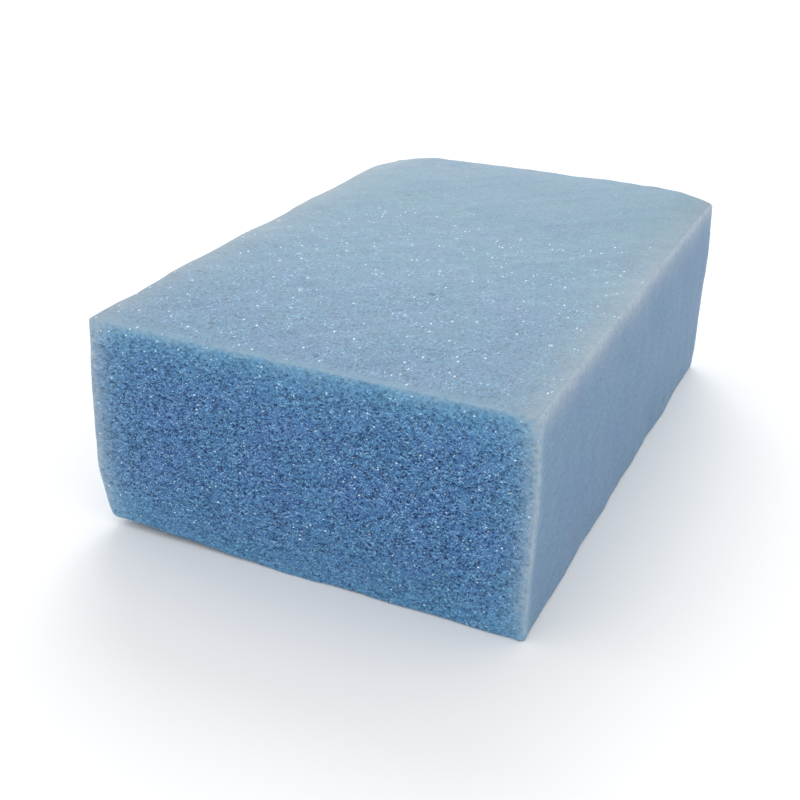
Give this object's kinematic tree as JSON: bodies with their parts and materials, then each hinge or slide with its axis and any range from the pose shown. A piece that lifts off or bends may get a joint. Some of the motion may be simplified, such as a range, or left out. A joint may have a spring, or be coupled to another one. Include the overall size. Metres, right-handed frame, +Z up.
{
  "type": "grouting sponge block",
  "caption": "Plain rectangular block of open-cell polyurethane foam for washing and wiping tile grout, flat above and below, drawn in at the base on its left side and back.",
  "frame": {"origin": "centre of the base's bounding rectangle, at the height of the face that the block rests on", "axes": "+Z up through the thickness, +Y along the block towards its back end, +X to the right seen from the front end"},
  "size_m": [0.111, 0.172, 0.055],
  "materials": {
    "foam": "sawn open-cell polyurethane foam, mid blue, matt, paler and greyer where light comes through its edges"
  },
  "bodies": {
    "root": {"foam_block": "foam"}
  },
  "joints": []
}
